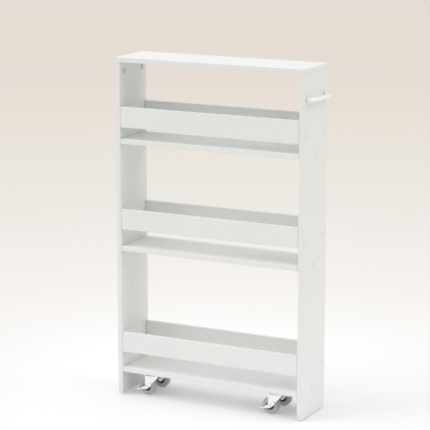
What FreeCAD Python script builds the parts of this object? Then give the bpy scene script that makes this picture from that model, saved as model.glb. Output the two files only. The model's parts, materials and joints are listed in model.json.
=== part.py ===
import FreeCAD, Part
import math
import operator
import os
import Sketcher

# Rolling pantry cart: a narrow three-tier carcass of white boards on four small swivel casters.
# X runs along the width, Y from front to back, Z up from the floor.  The origin lies on the floor
# under the middle of the whole cart, handle included.

doc = FreeCAD.newDocument("rolling_pantry_cart")

# ---------------------------------------------------------------- driving dimensions (mm)

DRIVING = {
    # carcass
    "carcass_width": 482.6,
    "carcass_depth": 127,
    "board": 12,
    "lower_bay": 284.4,
    "middle_bay": 244.2,
    "upper_bay": 179.2,
    "panel_clearance": 4,
    "board_ease": 1.2,
    "joint_ease": 1,
    "joint_seam": 1,
    "joint_inset": 1.6,
    # rails along the front and the back of each tier
    "rail_thickness": 9,
    "rail_height": 48.5,
    "lower_rail_gap": 38,
    "middle_rail_gap": 40.3,
    "upper_rail_gap": 27,
    # screws, dowels and their covers
    "hole_play": 0.05,
    "shelf_screw_shank": 5,
    "shelf_screw_head": 8,
    "shelf_screw_length": 45,
    "rail_screw_shank": 3,
    "rail_screw_head": 5,
    "rail_screw_length": 32,
    "rail_screw_rise": 13.5,
    "screw_head_depth": 2.4,
    "screw_tip": 4,
    "cover_diameter": 20,
    "cover_thickness": 0.9,
    "cover_inset": 12,
    "shelf_dowel": 6,
    "shelf_dowel_length": 28,
    "shelf_dowel_inset": 32,
    "rail_dowel": 5,
    "rail_dowel_length": 24,
    "rail_dowel_rise": 34,
    "dowel_bite": 8,
    # cam fittings under the top board
    "cam_diameter": 15,
    "cam_thickness": 9.5,
    "cam_drop": 22,
    "cam_inset": 22,
    "cam_bolt_shank": 4,
    "cam_bolt_head": 6,
    "cam_bolt_bite": 9,
    "cam_slot": 6.6,
    "cam_face": 2,
    # pull handle
    "handle_drop": 70.2,
    "handle_spacing": 96,
    "handle_bar": 9.5,
    "handle_leg": 4,
    "handle_bend": 10,
    "handle_bow": 400,
    "handle_foot": 15,
    "handle_foot_thickness": 3,
    "handle_screw": 4,
    "handle_screw_bite": 7,
    "handle_screw_head": 8,
    "handle_screw_head_depth": 2.4,
    # casters
    "caster_inset_x": 78,
    "front_caster_inset": 32,
    "rear_caster_inset": 27,
    "caster_trail": 13,
    "wheel_diameter": 40,
    "caster_rise": 17,
    "wheel_width": 16,
    "tyre_thickness": 9.5,
    "tyre_shoulder": 3.5,
    "hub_boss": 5,
    "hub_rim": 2.6,
    "hub_recess": 4.5,
    "axle": 5,
    "axle_head": 8,
    "axle_head_thickness": 1.6,
    "running_gap": 0.05,
    "side_gap": 0.3,
    "plate_size": 42,
    "plate_thickness": 2,
    "plate_corner": 5,
    "plate_hole_spacing": 32,
    "plate_screw": 3,
    "plate_screw_head": 5.6,
    "plate_screw_bite": 9,
    "cup_radius": 16,
    "cup_wall": 1.4,
    "cup_skirt": 2.6,
    "ball": 4,
    "ball_circle": 22,
    "ball_count": 12,
    "race_depth": 0.3,
    "seat_rise": 1.5,
    "seat_radius": 14,
    "king_pin": 6,
    "king_pin_head": 11,
    "king_pin_head_thickness": 1.6,
    "fork_wall": 1.5,
    "fork_side_gap": 1,
    "fork_top_gap": 8.5,
    "fork_boss": 5,
    "fork_bend": 2,
    "crown_radius": 18,
    "brake_wall": 1.2,
    "brake_boss": 5.2,
    "brake_lobe": 4,
    "brake_lobe_ahead": 9.6,
    "brake_lobe_rise": 6.8,
    "brake_elbow_back": 14,
    "brake_elbow_drop": 5,
    "brake_reach": 28.5,
    "brake_tab": 1.6,
    "brake_tab_drop": 6.7,
}


class Size:
    """A length known both as a document expression and as its present value."""

    def __init__(self, text, value):
        self.text = text
        self.value = value

    def __add__(self, other):
        return joined(self, "+", other)

    def __radd__(self, other):
        return joined(other, "+", self)

    def __sub__(self, other):
        return joined(self, "-", other)

    def __rsub__(self, other):
        return joined(other, "-", self)

    def __mul__(self, other):
        return joined(self, "*", other)

    def __rmul__(self, other):
        return joined(other, "*", self)

    def __truediv__(self, other):
        return joined(self, "/", other)

    def __neg__(self):
        return joined(0, "-", self)


OPERATORS = {"+": operator.add, "-": operator.sub, "*": operator.mul, "/": operator.truediv}


def as_size(length):
    return length if isinstance(length, Size) else Size(str(length), length)


def joined(left, sign, right):
    left, right = as_size(left), as_size(right)
    return Size(f"({left.text} {sign} {right.text})", OPERATORS[sign](left.value, right.value))


def root(length):
    return Size(f"sqrt({length.text})", math.sqrt(length.value))


def vector(*lengths):
    return FreeCAD.Vector(*(as_size(length).value for length in lengths))


class Sizes:
    """The spreadsheet of driving dimensions, with one attribute for each alias."""

    def __init__(self):
        sheet = doc.addObject("Spreadsheet::Sheet", "Sizes")
        for row, (alias, value) in enumerate(DRIVING.items(), start=1):
            sheet.set(f"A{row}", alias.replace("_", " "))
            sheet.set(f"B{row}", str(value))
            sheet.setAlias(f"B{row}", alias)
            setattr(self, alias, Size(f"Sizes.{alias}", value))


s = Sizes()
doc.recompute()

# ---------------------------------------------------------------- places worked out from them

handle_arc_offset = root(
    (s.handle_bow - s.handle_bend) * (s.handle_bow - s.handle_bend)
    - (s.handle_spacing / 2 - s.handle_bend) * (s.handle_spacing / 2 - s.handle_bend))
handle_reach = s.handle_leg - handle_arc_offset + s.handle_bow + s.handle_bar / 2

left = -(s.carcass_width + handle_reach - s.cover_thickness) / 2
right = left + s.carcass_width
front = -s.carcass_depth / 2
back = s.carcass_depth / 2
span = s.carcass_width - 2 * s.board

caster_height = s.wheel_diameter + s.caster_rise
lower_shelf = caster_height
middle_shelf = lower_shelf + s.board + s.lower_bay
upper_shelf = middle_shelf + s.board + s.middle_bay
top_under = upper_shelf + s.board + s.upper_bay
top = top_under + s.board

# one row for each tier: its name, the underside of its shelf, the underside of its rails
TIERS = [
    ("lower", lower_shelf, lower_shelf + s.board + s.lower_rail_gap),
    ("middle", middle_shelf, middle_shelf + s.board + s.middle_rail_gap),
    ("upper", upper_shelf, upper_shelf + s.board + s.upper_rail_gap),
]
shelf_screw_y = s.carcass_depth / 2
shelf_dowel_ys = [s.shelf_dowel_inset, s.carcass_depth - s.shelf_dowel_inset]
rail_ys = [s.rail_thickness / 2, s.carcass_depth - s.rail_thickness / 2]
cover_ys = [s.cover_inset, s.carcass_depth - s.cover_inset]
cam_ys = [s.cam_inset, s.carcass_depth - s.cam_inset]
top_dowel_ys = [2 * s.cam_inset, s.carcass_depth - 2 * s.cam_inset]
handle_ys = [(s.carcass_depth - s.handle_spacing) / 2, (s.carcass_depth + s.handle_spacing) / 2]
handle_z = top - s.handle_drop

wheel_radius = s.wheel_diameter / 2
crown_under = s.wheel_diameter + s.fork_top_gap
crown_top = crown_under + s.fork_wall
seat_top = crown_top + s.seat_rise
ball_level = seat_top + s.ball / 2 - s.race_depth
cup_ceiling = ball_level + s.ball / 2 - s.race_depth
plate_under = caster_height - s.plate_thickness
fork_inner = s.wheel_width / 2 + s.fork_side_gap
fork_outer = fork_inner + s.fork_wall
brake_inner = fork_outer + s.side_gap
brake_outer = brake_inner + s.brake_wall
plate_screw_offsets = [-s.plate_hole_spacing / 2, s.plate_hole_spacing / 2]

CASTERS = [
    ("front_left", left + s.caster_inset_x, front + s.front_caster_inset, True),
    ("front_right", right - s.caster_inset_x, front + s.front_caster_inset, True),
    ("rear_left", left + s.caster_inset_x, back - s.rear_caster_inset, False),
    ("rear_right", right - s.caster_inset_x, back - s.rear_caster_inset, False),
]

# ---------------------------------------------------------------- document helpers

nodes = []


def bind(obj, prop, length):
    obj.setExpression(prop, as_size(length).text)


def new_body(name, x, y, z, is_node=True):
    body = doc.addObject("PartDesign::Body", name)
    body.Label = name
    for axis, length in zip("xyz", (x, y, z)):
        bind(body, f"Placement.Base.{axis}", length)
    if is_node:
        nodes.append(body)
    return body


def new_sketch(body, plane, name, lift=0):
    sketch = body.newObject("Sketcher::SketchObject", name)
    origin_plane = next(f for f in body.Origin.OriginFeatures if f.Role == f"{plane}_Plane")
    sketch.AttachmentSupport = (origin_plane, [""])
    sketch.MapMode = "FlatFace"
    bind(sketch, "AttachmentOffset.Base.z", lift)
    return sketch


def constrain(sketch, kind, *arguments):
    return sketch.addConstraint(Sketcher.Constraint(kind, *arguments))


def dimension(sketch, kind, *arguments):
    """A sketch dimension whose last argument is a size, bound to the sheet."""
    length = as_size(arguments[-1])
    index = constrain(sketch, kind, *arguments[:-1], length.value)
    bind(sketch, f"Constraints[{index}]", length)


def locate(sketch, geometry, point, x, y):
    dimension(sketch, "DistanceX", -1, 1, geometry, point, x)
    dimension(sketch, "DistanceY", -1, 1, geometry, point, y)


def polygon(sketch, points):
    corners = [vector(x, y, 0) for x, y in points]
    following = corners[1:] + corners[:1]
    lines = [sketch.addGeometry(Part.LineSegment(a, b)) for a, b in zip(corners, following)]
    for line, after in zip(lines, lines[1:] + lines[:1]):
        constrain(sketch, "Coincident", line, 2, after, 1)
    for line, (x, y) in zip(lines, points):
        locate(sketch, line, 1, x, y)


def rectangle(sketch, x, y, width, height):
    polygon(sketch, [(x, y), (x + width, y), (x + width, y + height), (x, y + height)])


def circle(sketch, x, y, radius):
    round_line = Part.Circle(vector(x, y, 0), vector(0, 0, 1), as_size(radius).value)
    index = sketch.addGeometry(round_line)
    locate(sketch, index, 3, x, y)
    dimension(sketch, "Radius", index, radius)


def wrap(sketch, circles):
    """The outline of a belt around circles, given counter-clockwise as (x, y, radius)."""
    centres = [vector(x, y, 0) for x, y, _ in circles]
    radii = [as_size(radius).value for _, _, radius in circles]
    count = len(circles)
    normals = []
    for i in range(count):
        along = centres[(i + 1) % count] - centres[i]
        lean = (radii[i] - radii[(i + 1) % count]) / along.Length
        along.normalize()
        outward = FreeCAD.Vector(along.y, -along.x, 0)
        normals.append(along * lean + outward * math.sqrt(1 - lean * lean))
    arcs, lines = [], []
    for i in range(count):
        start = math.atan2(normals[i - 1].y, normals[i - 1].x)
        end = math.atan2(normals[i].y, normals[i].x)
        round_line = Part.Circle(centres[i], vector(0, 0, 1), radii[i])
        arcs.append(sketch.addGeometry(Part.ArcOfCircle(round_line, start, end)))
    for i in range(count):
        j = (i + 1) % count
        line = Part.LineSegment(centres[i] + normals[i] * radii[i], centres[j] + normals[i] * radii[j])
        lines.append(sketch.addGeometry(line))
    for i in range(count):
        constrain(sketch, "Tangent", arcs[i], 2, lines[i], 1)
        constrain(sketch, "Tangent", lines[i], 2, arcs[(i + 1) % count], 1)
    for arc, (x, y, radius) in zip(arcs, circles):
        locate(sketch, arc, 3, x, y)
        dimension(sketch, "Radius", arc, radius)


def pad(body, sketch, length, both_ways=False, backwards=False):
    feature = body.newObject("PartDesign::Pad", "pad")
    feature.Profile = sketch
    feature.Midplane = both_ways
    feature.Reversed = backwards
    bind(feature, "Length", length)
    doc.recompute()
    return feature


def pocket(body, sketch, length, both_ways=False, backwards=False):
    """Cuts the sketch's outline away; it must take something off the body."""
    before = body.Shape.Volume
    feature = body.newObject("PartDesign::Pocket", "pocket")
    feature.Profile = sketch
    feature.Midplane = both_ways
    feature.Reversed = backwards
    bind(feature, "Length", length)
    doc.recompute()
    assert body.Shape.Volume < before, f"{body.Label}: {sketch.Label} cuts nothing"
    return feature


def turn(body, sketch, kind="PartDesign::Revolution", axis="V_Axis"):
    feature = body.newObject(kind, "turning")
    feature.Profile = sketch
    feature.ReferenceAxis = (sketch, [axis])
    feature.Angle = 360
    doc.recompute()
    return feature


def fillet(body, base, radius, test=None):
    """Rounds the edges of a feature that pass the test, or all of them."""
    feature = body.newObject("PartDesign::Fillet", "fillet")
    edges = enumerate(base.Shape.Edges, start=1)
    names = [f"Edge{i}" for i, edge in edges if test is None or test(edge)]
    feature.Base = (base, names)
    bind(feature, "Radius", radius)
    doc.recompute()
    return feature


def drill(body, plane, name, holes, depth, lift=0, backwards=False):
    """Round holes of one depth, each given as (x, y, radius) in the plane of the sketch."""
    sketch = new_sketch(body, plane, name, lift)
    for x, y, radius in holes:
        circle(sketch, x, y, radius)
    return pocket(body, sketch, depth, backwards=backwards)


def is_upright(edge):
    return edge.Curve.TypeId == "Part::GeomLine" and abs(edge.tangentAt(edge.FirstParameter).z) > 0.9


def eased_board(name, x, y, z, width, depth, height):
    """A board with its lowest corner at x, y, z and every arris slightly rounded."""
    body = new_body(name, x, y, z)
    outline = new_sketch(body, "XY", "outline")
    rectangle(outline, 0, 0, width, depth)
    fillet(body, pad(body, outline, height), s.board_ease)
    return body


def jointed_board(name, y, z, depth, height):
    """A board between the side panels, set back all round at both ends as a fine shadow seam."""
    body = new_body(name, left + s.board, y, z)
    outline = new_sketch(body, "XY", "outline")
    rectangle(outline, s.joint_seam, 0, span - 2 * s.joint_seam, depth)
    fillet(body, pad(body, outline, height), s.joint_ease)
    core = new_sketch(body, "XY", "core", s.joint_inset)
    rectangle(core, 0, s.joint_inset, span, depth - 2 * s.joint_inset)
    pad(body, core, height - 2 * s.joint_inset)
    return body


def group(name, solids):
    """One node that holds several separate copies of a master solid."""
    feature = doc.addObject("Part::Feature", name)
    feature.Label = name
    feature.Shape = Part.makeCompound(solids)
    nodes.append(feature)
    return feature


def copies(master, places):
    """Copies of a master made along +Z; each place is a point and the direction of its Z axis."""
    solids = []
    for point, direction in places:
        turned = FreeCAD.Rotation(FreeCAD.Vector(0, 0, 1), direction)
        solid = master.Shape.Solids[0].copy()
        solid.Placement = FreeCAD.Placement(point, turned)
        solids.append(solid)
    return solids


# ---------------------------------------------------------------- carcass boards

def hole(diameter):
    return diameter / 2 + s.hole_play


def make_top_board():
    body = eased_board("top_board", left, front, top_under,
                       s.carcass_width, s.carcass_depth, s.board)
    xs = [s.board / 2, s.carcass_width - s.board / 2]
    bolts = [(x, y, hole(s.cam_bolt_shank)) for x in xs for y in cam_ys]
    dowels = [(x, y, hole(s.shelf_dowel)) for x in xs for y in top_dowel_ys]
    drill(body, "XY", "cam_bolt_holes", bolts, s.cam_bolt_bite, backwards=True)
    drill(body, "XY", "dowel_holes", dowels, s.dowel_bite, backwards=True)
    return body


def make_side_panel(name, x, is_right):
    """A full-height side; its sketches stand on its own YZ plane, seen from the outside."""
    height = top_under - s.panel_clearance
    body = eased_board(name, x, front, s.panel_clearance,
                       s.board, s.carcass_depth, height)
    outer_lift = s.board if is_right else 0
    inner_lift = 0 if is_right else s.board
    levels = [(under - s.panel_clearance, rail - s.panel_clearance) for _, under, rail in TIERS]

    shelf_screws = [(shelf_screw_y, under + s.board / 2) for under, _ in levels]
    rail_screws = [(y, rail + s.rail_screw_rise) for _, rail in levels for y in rail_ys]
    shelf_dowels = [(y, under + s.board / 2) for under, _ in levels for y in shelf_dowel_ys]
    rail_dowels = [(y, rail + s.rail_dowel_rise) for _, rail in levels for y in rail_ys]

    def from_outside(label, points, diameter, depth):
        holes = [(y, z, hole(diameter)) for y, z in points]
        drill(body, "YZ", label, holes, depth, outer_lift, backwards=not is_right)

    def from_inside(label, points, diameter, depth):
        holes = [(y, z, hole(diameter)) for y, z in points]
        drill(body, "YZ", label, holes, depth, inner_lift, backwards=is_right)

    from_outside("shelf_screw_holes", shelf_screws, s.shelf_screw_shank, s.board)
    from_outside("shelf_screw_recesses", shelf_screws, s.shelf_screw_head, s.screw_head_depth)
    from_outside("rail_screw_holes", rail_screws, s.rail_screw_shank, s.board)
    from_outside("rail_screw_recesses", rail_screws, s.rail_screw_head, s.screw_head_depth)
    from_inside("shelf_dowel_holes", shelf_dowels, s.shelf_dowel, s.dowel_bite)
    from_inside("rail_dowel_holes", rail_dowels, s.rail_dowel, s.dowel_bite)
    cams = [(y, height - s.cam_drop) for y in cam_ys]
    from_inside("cam_pockets", cams, s.cam_diameter, s.cam_thickness)

    bolts = [(s.board / 2, y, hole(s.cam_bolt_head)) for y in cam_ys]
    drill(body, "XY", "cam_bolt_bores", bolts, s.cam_drop + s.cam_bolt_head / 2, lift=height)
    dowels = [(s.board / 2, y, hole(s.shelf_dowel)) for y in top_dowel_ys]
    drill(body, "XY", "top_dowel_holes", dowels, s.shelf_dowel_length - s.dowel_bite, lift=height)
    if is_right:
        points = [(y, handle_z - s.panel_clearance) for y in handle_ys]
        from_inside("handle_screw_holes", points, s.handle_screw, s.board)
    return body


def drill_ends(body, label, points, diameter, depth):
    """The same holes in both ends of a board that spans the carcass."""
    holes = [(y, z, hole(diameter)) for y, z in points]
    drill(body, "YZ", f"left_{label}", holes, depth, backwards=True)
    drill(body, "YZ", f"right_{label}", holes, depth, lift=span)


def make_shelf(name, under):
    body = jointed_board(f"{name}_shelf", front, under, s.carcass_depth, s.board)
    screw_depth = s.shelf_screw_length - s.board
    dowel_depth = s.shelf_dowel_length - s.dowel_bite
    drill_ends(body, "screw_holes", [(shelf_screw_y, s.board / 2)], s.shelf_screw_shank, screw_depth)
    drill_ends(body, "dowel_holes", [(y, s.board / 2) for y in shelf_dowel_ys],
               s.shelf_dowel, dowel_depth)
    return body


def drill_for_casters(shelf):
    """Pilot holes under the lowest shelf for the screws of the caster plates."""
    holes = []
    for _, x, y, _ in CASTERS:
        for dx in plate_screw_offsets:
            for dy in plate_screw_offsets:
                holes.append((x + dx - left - s.board, y + dy - front, hole(s.plate_screw)))
    drill(shelf, "XY", "caster_screw_holes", holes, s.plate_screw_bite, backwards=True)


def make_rail(name, y, under):
    body = jointed_board(name, y, under, s.rail_thickness, s.rail_height)
    middle = s.rail_thickness / 2
    drill_ends(body, "screw_holes", [(middle, s.rail_screw_rise)],
               s.rail_screw_shank, s.rail_screw_length - s.board)
    drill_ends(body, "dowel_holes", [(middle, s.rail_dowel_rise)],
               s.rail_dowel, s.rail_dowel_length - s.dowel_bite)
    return body


make_top_board()
make_side_panel("left_side_panel", left, is_right=False)
make_side_panel("right_side_panel", right - s.board, is_right=True)
for tier, shelf_under, rail_under in TIERS:
    shelf_body = make_shelf(tier, shelf_under)
    if tier == "lower":
        drill_for_casters(shelf_body)
    make_rail(f"{tier}_front_rail", front, rail_under)
    make_rail(f"{tier}_back_rail", back - s.rail_thickness, rail_under)

# ---------------------------------------------------------------- screws, dowels, cams and covers


def make_master(name, profile):
    """A turned solid whose profile is a closed line of (radius, height) points."""
    body = new_body(name, 0, 0, 0, is_node=False)
    sketch = new_sketch(body, "XZ", "profile")
    polygon(sketch, profile)
    turn(body, sketch)
    return body


def cut_cross(body, level, arm, width, depth):
    """A cross recess in a screw head whose top lies at the given level."""
    sketch = new_sketch(body, "XY", "cross", level)
    near, far = width / 2, arm / 2
    corners = [(near, -far), (near, -near), (far, -near), (far, near), (near, near), (near, far)]
    polygon(sketch, corners + [(-x, -y) for x, y in corners])
    pocket(body, sketch, depth)


def make_screw(name, shank, head, head_depth, length):
    """A flat-headed screw that points down from its head's top at height 0."""
    neck = -head_depth
    tip = as_size(0.4)
    body = make_master(name, [
        (0, 0), (0, -length), (tip, -length), (shank / 2, s.screw_tip - length),
        (shank / 2, neck), (head / 2, neck), (head / 2, 0)])
    cut_cross(body, 0, head * 0.6, head * 0.14, head_depth / 2)
    return body


def make_pin(name, diameter, length):
    """A dowel or disc that runs up from height 0."""
    return make_master(name, [(0, 0), (diameter / 2, 0), (diameter / 2, length), (0, length)])


def both_sides(points, left_x, right_x, inward=True):
    """Places on both ends of the carcass, at carcass depth y and height z."""
    away = 1 if inward else -1
    places = [(vector(left_x, front + y, z), FreeCAD.Vector(-away, 0, 0)) for y, z in points]
    places += [(vector(right_x, front + y, z), FreeCAD.Vector(away, 0, 0)) for y, z in points]
    return places


shelf_points = [(shelf_screw_y, under + s.board / 2) for _, under, _ in TIERS]
rail_points = [(y, rail + s.rail_screw_rise) for _, _, rail in TIERS for y in rail_ys]
cover_points = shelf_points + [(y, rail + s.rail_screw_rise) for _, _, rail in TIERS for y in cover_ys]
shelf_dowel_points = [(y, under + s.board / 2) for _, under, _ in TIERS for y in shelf_dowel_ys]
rail_dowel_points = [(y, rail + s.rail_dowel_rise) for _, _, rail in TIERS for y in rail_ys]
dowel_left = left + s.board - s.dowel_bite
dowel_right = right - s.board + s.dowel_bite

shelf_screw = make_screw("shelf_screw_master", s.shelf_screw_shank, s.shelf_screw_head,
                         s.screw_head_depth, s.shelf_screw_length)
rail_screw = make_screw("rail_screw_master", s.rail_screw_shank, s.rail_screw_head,
                        s.screw_head_depth, s.rail_screw_length)
cover = make_pin("cover_master", s.cover_diameter, s.cover_thickness)
fillet(cover, cover.Tip, s.cover_thickness * 0.6,
       lambda edge: edge.Vertexes[0].Point.z > 0 and edge.Curve.TypeId == "Part::GeomCircle")
shelf_dowel = make_pin("shelf_dowel_master", s.shelf_dowel, s.shelf_dowel_length)
rail_dowel = make_pin("rail_dowel_master", s.rail_dowel, s.rail_dowel_length)

group("shelf_screws", copies(shelf_screw, both_sides(shelf_points, left, right)))
group("rail_screws", copies(rail_screw, both_sides(rail_points, left, right)))
group("screw_covers", copies(cover, both_sides(cover_points, left, right)))
group("shelf_dowels", copies(shelf_dowel, both_sides(shelf_dowel_points, dowel_left, dowel_right,
                                                     inward=False)))
group("rail_dowels", copies(rail_dowel, both_sides(rail_dowel_points, dowel_left, dowel_right,
                                                   inward=False)))

side_middles = [left + s.board / 2, right - s.board / 2]
up = FreeCAD.Vector(0, 0, 1)
down = FreeCAD.Vector(0, 0, -1)
top_dowel_bottom = top_under - s.shelf_dowel_length + s.dowel_bite
group("top_dowels", copies(shelf_dowel, [
    (vector(x, front + y, top_dowel_bottom), up) for x in side_middles for y in top_dowel_ys]))


def make_cam_bolt():
    """Screwed into the top board, with a collared end that hangs in the cam."""
    shank = s.cam_bolt_shank / 2
    head = s.cam_bolt_head / 2
    collar = s.cam_bolt_head / 3
    return make_master("cam_bolt_master", [
        (0, s.cam_bolt_bite), (0, -s.cam_drop - collar / 2), (head, -s.cam_drop - collar / 2),
        (head, collar / 2 - s.cam_drop), (shank, collar / 2 - s.cam_drop),
        (shank, s.cam_bolt_bite)])


def make_cam():
    """A disc with its open face down at height 0, slotted from the rim for the bolt's end."""
    body = make_pin("cam_master", s.cam_diameter, s.cam_thickness)
    slot = new_sketch(body, "XY", "slot")
    rectangle(slot, -s.cam_slot / 2, -s.cam_slot / 2, s.cam_diameter, s.cam_slot)
    pocket(body, slot, s.cam_thickness - s.cam_face, backwards=True)
    cut_cross(body, s.cam_thickness, s.cam_diameter * 0.5, s.cam_face * 0.8, s.cam_face / 2)
    return body


def cam_places():
    """Each cam lies in its pocket with the marked face inwards and its slot up."""
    places = []
    for x, inward in ((left + s.board, 1), (right - s.board, -1)):
        across = FreeCAD.Vector(0, -inward, 0)
        turned = FreeCAD.Rotation(up, across, FreeCAD.Vector(inward, 0, 0), "XYZ")
        for y in cam_ys:
            point = vector(x - inward * s.cam_thickness, front + y, top_under - s.cam_drop)
            places.append(FreeCAD.Placement(point, turned))
    return places


def placed(master, places):
    solids = []
    for place in places:
        solid = master.Shape.Solids[0].copy()
        solid.Placement = place
        solids.append(solid)
    return solids


group("cam_locks", placed(make_cam(), cam_places()))
group("cam_bolts", copies(make_cam_bolt(), [
    (vector(x, front + y, top_under), up) for x in side_middles for y in cam_ys]))

# ---------------------------------------------------------------- pull handle


def make_handle():
    """A round bar bowed between two footed legs on the outside of the right panel."""
    body = new_body("pull_handle", right, 0, handle_z)
    half = s.handle_spacing / 2
    path = new_sketch(body, "XY", "path")
    leg, bend, bow = s.handle_leg.value, s.handle_bend.value, s.handle_bow.value
    centre_x = leg - handle_arc_offset.value
    lean = math.asin((half.value - bend) / (bow - bend))
    axis = vector(0, 0, 1)

    def arc(x, y, radius, start, end):
        round_line = Part.Circle(FreeCAD.Vector(x, y, 0), axis, radius)
        return path.addGeometry(Part.ArcOfCircle(round_line, start, end))

    near = path.addGeometry(Part.LineSegment(
        FreeCAD.Vector(0, -half.value, 0), FreeCAD.Vector(leg, -half.value, 0)))
    near_bend = arc(leg, bend - half.value, bend, -math.pi / 2, -lean)
    bowed = arc(centre_x, 0, bow, -lean, lean)
    far_bend = arc(leg, half.value - bend, bend, lean, math.pi / 2)
    far = path.addGeometry(Part.LineSegment(
        FreeCAD.Vector(leg, half.value, 0), FreeCAD.Vector(0, half.value, 0)))
    chain = [near, near_bend, bowed, far_bend, far]
    for first, second in zip(chain, chain[1:]):
        constrain(path, "Tangent", first, 2, second, 1)
    locate(path, near, 1, 0, -half)
    locate(path, far, 2, 0, half)
    locate(path, near, 2, s.handle_leg, -half)
    locate(path, far, 1, s.handle_leg, half)
    dimension(path, "Radius", near_bend, s.handle_bend)
    dimension(path, "Radius", bowed, s.handle_bow)
    dimension(path, "Radius", far_bend, s.handle_bend)

    section = new_sketch(body, "YZ", "section")
    circle(section, -half, 0, s.handle_bar / 2)
    doc.recompute()
    pipe = body.newObject("PartDesign::AdditivePipe", "bar")
    pipe.Profile = section
    pipe.Spine = (path, [f"Edge{i}" for i in range(1, len(chain) + 1)])
    doc.recompute()

    feet = new_sketch(body, "YZ", "feet")
    for y in (-half, half):
        circle(feet, y, 0, s.handle_foot / 2)
    foot_pad = pad(body, feet, s.handle_foot_thickness)
    rim = s.handle_foot.value / 2
    fillet(body, foot_pad, s.handle_foot_thickness / 3,
           lambda edge: edge.Curve.TypeId == "Part::GeomCircle"
           and abs(edge.Curve.Radius - rim) < 0.01 and edge.Curve.Center.x > 1)
    holes = [(y, 0, hole(s.handle_screw)) for y in (-half, half)]
    drill(body, "YZ", "screw_holes", holes, s.handle_screw_bite + 1, backwards=True)
    return body


make_handle()
handle_screw = make_screw("handle_screw_master", s.handle_screw, s.handle_screw_head,
                          s.handle_screw_head_depth,
                          s.handle_screw_head_depth + s.board + s.handle_screw_bite)
group("handle_screws", copies(handle_screw, [
    (vector(right - s.board - s.handle_screw_head_depth, front + y, handle_z),
     FreeCAD.Vector(-1, 0, 0)) for y in handle_ys]))

# ---------------------------------------------------------------- casters


def race_groove(body):
    """The track of the balls, cut as a ring around the swivel axis."""
    before = body.Shape.Volume
    sketch = new_sketch(body, "XZ", "race")
    circle(sketch, s.ball_circle / 2, ball_level, s.ball / 2 + s.running_gap)
    turn(body, sketch, "PartDesign::Groove")
    assert body.Shape.Volume < before, f"{body.Label}: the race cuts nothing"


def make_plate(name, x, y):
    """The mounting plate, with the round cup of the swivel race pressed under it."""
    body = new_body(f"{name}_plate", x, y, 0)
    outline = new_sketch(body, "XY", "outline", plate_under)
    rectangle(outline, -s.plate_size / 2, -s.plate_size / 2, s.plate_size, s.plate_size)
    fillet(body, pad(body, outline, s.plate_thickness), s.plate_corner, is_upright)
    skirt_bottom = cup_ceiling - s.cup_skirt
    cup = new_sketch(body, "XY", "cup", plate_under)
    circle(cup, 0, 0, s.cup_radius)
    pad(body, cup, plate_under - skirt_bottom, backwards=True)
    hollow = new_sketch(body, "XY", "hollow", skirt_bottom)
    circle(hollow, 0, 0, s.cup_radius - s.cup_wall)
    pocket(body, hollow, s.cup_skirt, backwards=True)
    drill(body, "XY", "king_pin_hole", [(0, 0, hole(s.king_pin))], caster_height,
          lift=caster_height)
    race_groove(body)
    screws = [(dx, dy, hole(s.plate_screw)) for dx in plate_screw_offsets for dy in plate_screw_offsets]
    drill(body, "XY", "screw_holes", screws, s.plate_thickness, lift=caster_height)
    return body


def make_king_pin(name, x, y):
    """The rivet that holds the fork up to the plate; its head runs just below the crown."""
    body = new_body(f"{name}_king_pin", x, y, 0)
    sketch = new_sketch(body, "XZ", "profile")
    head_top = crown_under - s.running_gap
    head_bottom = head_top - s.king_pin_head_thickness
    polygon(sketch, [
        (0, head_bottom), (s.king_pin_head / 2, head_bottom), (s.king_pin_head / 2, head_top),
        (s.king_pin / 2, head_top), (s.king_pin / 2, caster_height), (0, caster_height)])
    turning = turn(body, sketch)
    rim = s.king_pin_head.value / 2
    fillet(body, turning, s.king_pin_head_thickness / 2,
           lambda edge: edge.Curve.TypeId == "Part::GeomCircle"
           and abs(edge.Curve.Radius - rim) < 0.01
           and abs(edge.Curve.Center.z - head_bottom.value) < 0.01)
    return body


def make_balls(name, x, y):
    """The loose balls of the swivel race, each a separate solid."""
    count = int(s.ball_count.value)
    balls = []
    for i in range(count):
        angle = 2 * math.pi * i / count
        reach = s.ball_circle.value / 2
        offset = FreeCAD.Vector(reach * math.cos(angle), reach * math.sin(angle), 0)
        balls.append(Part.makeSphere(s.ball.value / 2, vector(x, y, ball_level) + offset))
    return group(f"{name}_race_balls", balls)


def make_fork(name, x, y):
    """The swivelling fork: a round crown under the race and two legs down to the axle."""
    body = new_body(f"{name}_fork", x, y, 0)
    corner = s.fork_bend
    corner_x = s.crown_radius - corner
    side = new_sketch(body, "XZ", "side")
    wrap(side, [(-s.caster_trail, wheel_radius, s.fork_boss),
                (corner_x, crown_top - corner, corner),
                (-corner_x, crown_top - corner, corner)])
    block = pad(body, side, 2 * fork_outer, both_ways=True)
    fillet(body, block, s.fork_bend / 2,
           lambda edge: abs(edge.CenterOfMass.z - crown_top.value) < 0.01
           and edge.Length > corner_x.value)
    gap = new_sketch(body, "YZ", "wheel_gap")
    rectangle(gap, -fork_inner, 0, 2 * fork_inner, crown_under)
    pocket(body, gap, 4 * s.crown_radius, both_ways=True)
    crown = new_sketch(body, "XY", "crown", crown_under)
    circle(crown, 0, 0, s.crown_radius)
    pad(body, crown, s.fork_wall)
    seat = new_sketch(body, "XY", "seat", crown_top)
    circle(seat, 0, 0, s.seat_radius)
    pad(body, seat, s.seat_rise)
    race_groove(body)
    pin_hole = s.king_pin / 2 + s.running_gap
    drill(body, "XY", "king_pin_hole", [(0, 0, pin_hole)], seat_top - crown_under, lift=seat_top)
    axle_holes = new_sketch(body, "XZ", "axle_holes")
    circle(axle_holes, -s.caster_trail, wheel_radius, hole(s.axle))
    pocket(body, axle_holes, 2 * fork_outer, both_ways=True)
    return body


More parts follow.
